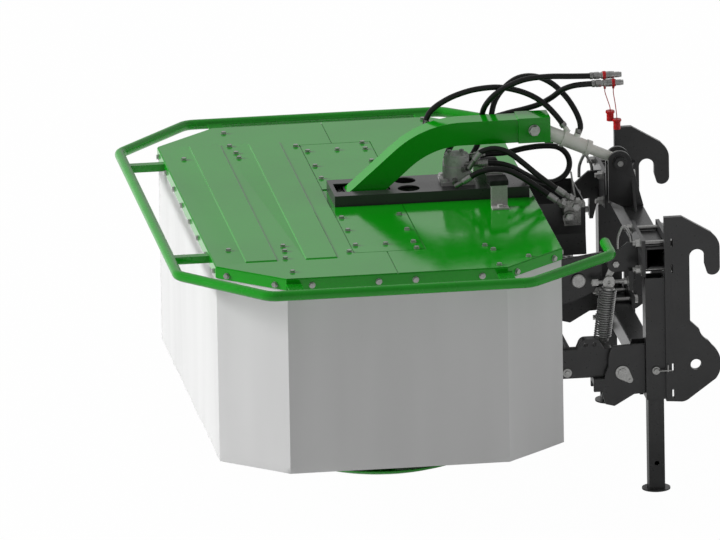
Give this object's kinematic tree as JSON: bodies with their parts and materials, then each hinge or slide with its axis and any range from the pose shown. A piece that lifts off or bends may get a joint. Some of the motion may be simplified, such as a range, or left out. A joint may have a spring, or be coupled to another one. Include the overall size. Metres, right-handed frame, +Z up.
{
  "type": "front-mounted mower",
  "caption": "Wide octagonal mower deck with curtain skirts and counter-rotating drums, carried on a sprung floating linkage by a loader hitch frame with parking legs.",
  "frame": {"origin": "centre of the outline on the plane of the feet", "axes": "+X back towards the loader, +Y to the machine's right, +Z up"},
  "size_m": [1.8118, 2.1136, 1.2745],
  "materials": {
    "frame_paint": "satin",
    "deck_paint": "gloss",
    "drum_paint": "satin",
    "zinc": "satin",
    "cylinder_paint": "gloss",
    "curtain_sheet": "matt",
    "housing_alloy": "satin",
    "hose_rubber": "satin",
    "belt_rubber": "matt",
    "cap_plastic": "matt",
    "knife_steel": "brushed"
  },
  "bodies": {
    "hitch_frame": {"upper_cross_tube": "frame_paint", "lower_cross_tube": "frame_paint", "leg_sleeves": "frame_paint", "left_hook_plate": "frame_paint", "right_hook_plate": "frame_paint", "clamp_plates": "frame_paint", "clamp_bolts": "zinc", "tower": "frame_paint", "frame_pins": "zinc", "pivot_brackets": "frame_paint", "spring_brackets": "frame_paint", "spring_anchors": "zinc", "parking_legs": "frame_paint", "left_spring": "zinc", "right_spring": "zinc"},
    "left_leg_pin": {"left_leg_pin": "zinc"},
    "right_leg_pin": {"right_leg_pin": "zinc"},
    "arms": {"lower_arms": "frame_paint", "arm_pins": "zinc"},
    "barrel": {"cylinder_barrel": "cylinder_paint"},
    "rod": {"cylinder_rod": "cylinder_paint"},
    "deck": {"deck_pan": "deck_paint", "deck_covers": "deck_paint", "cover_bolts": "zinc", "curtain_fixings": "zinc", "deck_frame": "frame_paint", "centre_beam": "frame_paint", "gooseneck": "deck_paint", "clevis_pin": "zinc", "bumper": "deck_paint", "front_curtain": "curtain_sheet", "left_curtain": "curtain_sheet", "right_curtain": "curtain_sheet", "rear_curtain": "curtain_sheet", "gear_housing": "housing_alloy", "drum_bearings": "zinc", "motor": "zinc", "hose_strap": "zinc", "rear_guard": "frame_paint", "hydraulic_fittings": "zinc", "drive_belts": "belt_rubber", "supply_hoses": "hose_rubber", "cylinder_hoses": "hose_rubber", "motor_hoses": "hose_rubber", "bypass_hose": "hose_rubber", "quick_couplers": "zinc", "dust_caps": "cap_plastic", "cap_cords": "cap_plastic"},
    "motor_pulley": {"motor_pulley": "zinc"},
    "input_pulley": {"input_pulley": "zinc"},
    "left_drum": {"left_drum": "drum_paint"},
    "right_drum": {"right_drum": "drum_paint"},
    "left_saucer": {"left_saucer": "drum_paint"},
    "right_saucer": {"right_saucer": "drum_paint"},
    "left_knife_1": {"left_knife_1": "knife_steel"},
    "left_knife_2": {"left_knife_2": "knife_steel"},
    "left_knife_3": {"left_knife_3": "knife_steel"},
    "right_knife_1": {"right_knife_1": "knife_steel"},
    "right_knife_2": {"right_knife_2": "knife_steel"},
    "right_knife_3": {"right_knife_3": "knife_steel"}
  },
  "joints": [
    {"name": "float", "type": "hinge", "parent": "hitch_frame", "child": "arms", "pos_m": [0.58493, 0, 0.403], "axis": [0, 1, 0], "range_deg": [0, 14], "deforming": ["left_spring", "right_spring"]},
    {"name": "deck_level", "type": "hinge", "parent": "arms", "child": "deck", "pos_m": [0.30092, 0, 0.42], "axis": [0, 1, 0], "range_deg": [-14.5, 0]},
    {"name": "cylinder_pivot", "type": "hinge", "parent": "deck", "child": "barrel", "pos_m": [0.37693, 0, 1.096], "axis": [0, 1, 0], "range_deg": [0, 12.5]},
    {"name": "rod_slide", "type": "slide", "parent": "barrel", "child": "rod", "axis": [0.9106, 0, -0.4133], "range_m": [0, 0.025]},
    {"name": "left_leg_pin_slide", "type": "slide", "parent": "hitch_frame", "child": "left_leg_pin", "axis": [0, -1, 0], "range_m": [0, 0.12]},
    {"name": "right_leg_pin_slide", "type": "slide", "parent": "hitch_frame", "child": "right_leg_pin", "axis": [0, 1, 0], "range_m": [0, 0.12]},
    {"name": "right_drum_spin", "type": "hinge", "parent": "deck", "child": "right_drum", "pos_m": [-0.19908, 0.45, 0.5], "axis": [0, 0, 1], "continuous": true},
    {"name": "left_drum_spin", "type": "hinge", "parent": "deck", "child": "left_drum", "pos_m": [-0.19908, -0.45, 0.5], "axis": [0, 0, 1], "continuous": true},
    {"name": "input_pulley_spin", "type": "hinge", "parent": "deck", "child": "input_pulley", "pos_m": [-0.19908, 0, 0.885], "axis": [0, 0, 1], "continuous": true},
    {"name": "motor_pulley_spin", "type": "hinge", "parent": "deck", "child": "motor_pulley", "pos_m": [0.12593, 0, 0.885], "axis": [0, 0, 1], "continuous": true},
    {"name": "right_saucer_spin", "type": "hinge", "parent": "right_drum", "child": "right_saucer", "pos_m": [-0.19908, 0.45, 0.17], "axis": [0, 0, 1], "continuous": true},
    {"name": "left_saucer_spin", "type": "hinge", "parent": "left_drum", "child": "left_saucer", "pos_m": [-0.19908, -0.45, 0.17], "axis": [0, 0, 1], "continuous": true},
    {"name": "left_knife_1_swing", "type": "hinge", "parent": "left_drum", "child": "left_knife_1", "pos_m": [-0.04707, -0.18673, 0.237], "axis": [0, 0, 1], "range_deg": [-90, 90]},
    {"name": "left_knife_2_swing", "type": "hinge", "parent": "left_drum", "child": "left_knife_2", "pos_m": [-0.50308, -0.45, 0.237], "axis": [0, 0, 1], "range_deg": [-90, 90]},
    {"name": "left_knife_3_swing", "type": "hinge", "parent": "left_drum", "child": "left_knife_3", "pos_m": [-0.04707, -0.71327, 0.237], "axis": [0, 0, 1], "range_deg": [-90, 90]},
    {"name": "right_knife_1_swing", "type": "hinge", "parent": "right_drum", "child": "right_knife_1", "pos_m": [0.10493, 0.45, 0.237], "axis": [0, 0, 1], "range_deg": [-90, 90]},
    {"name": "right_knife_2_swing", "type": "hinge", "parent": "right_drum", "child": "right_knife_2", "pos_m": [-0.35108, 0.71327, 0.237], "axis": [0, 0, 1], "range_deg": [-90, 90]},
    {"name": "right_knife_3_swing", "type": "hinge", "parent": "right_drum", "child": "right_knife_3", "pos_m": [-0.35108, 0.18673, 0.237], "axis": [0, 0, 1], "range_deg": [-90, 90]}
  ],
  "couplings": [
    {"joint": "deck_level", "follows": "float", "ratio": -1},
    {"joint": "cylinder_pivot", "follows": "float", "ratio": 0.83608},
    {"joint": "rod_slide", "follows": "float", "m_per_rad": 0.097652},
    {"joint": "left_drum_spin", "follows": "right_drum_spin", "ratio": -1},
    {"joint": "input_pulley_spin", "follows": "right_drum_spin", "ratio": 1},
    {"joint": "motor_pulley_spin", "follows": "right_drum_spin", "ratio": 1.4037}
  ]
}
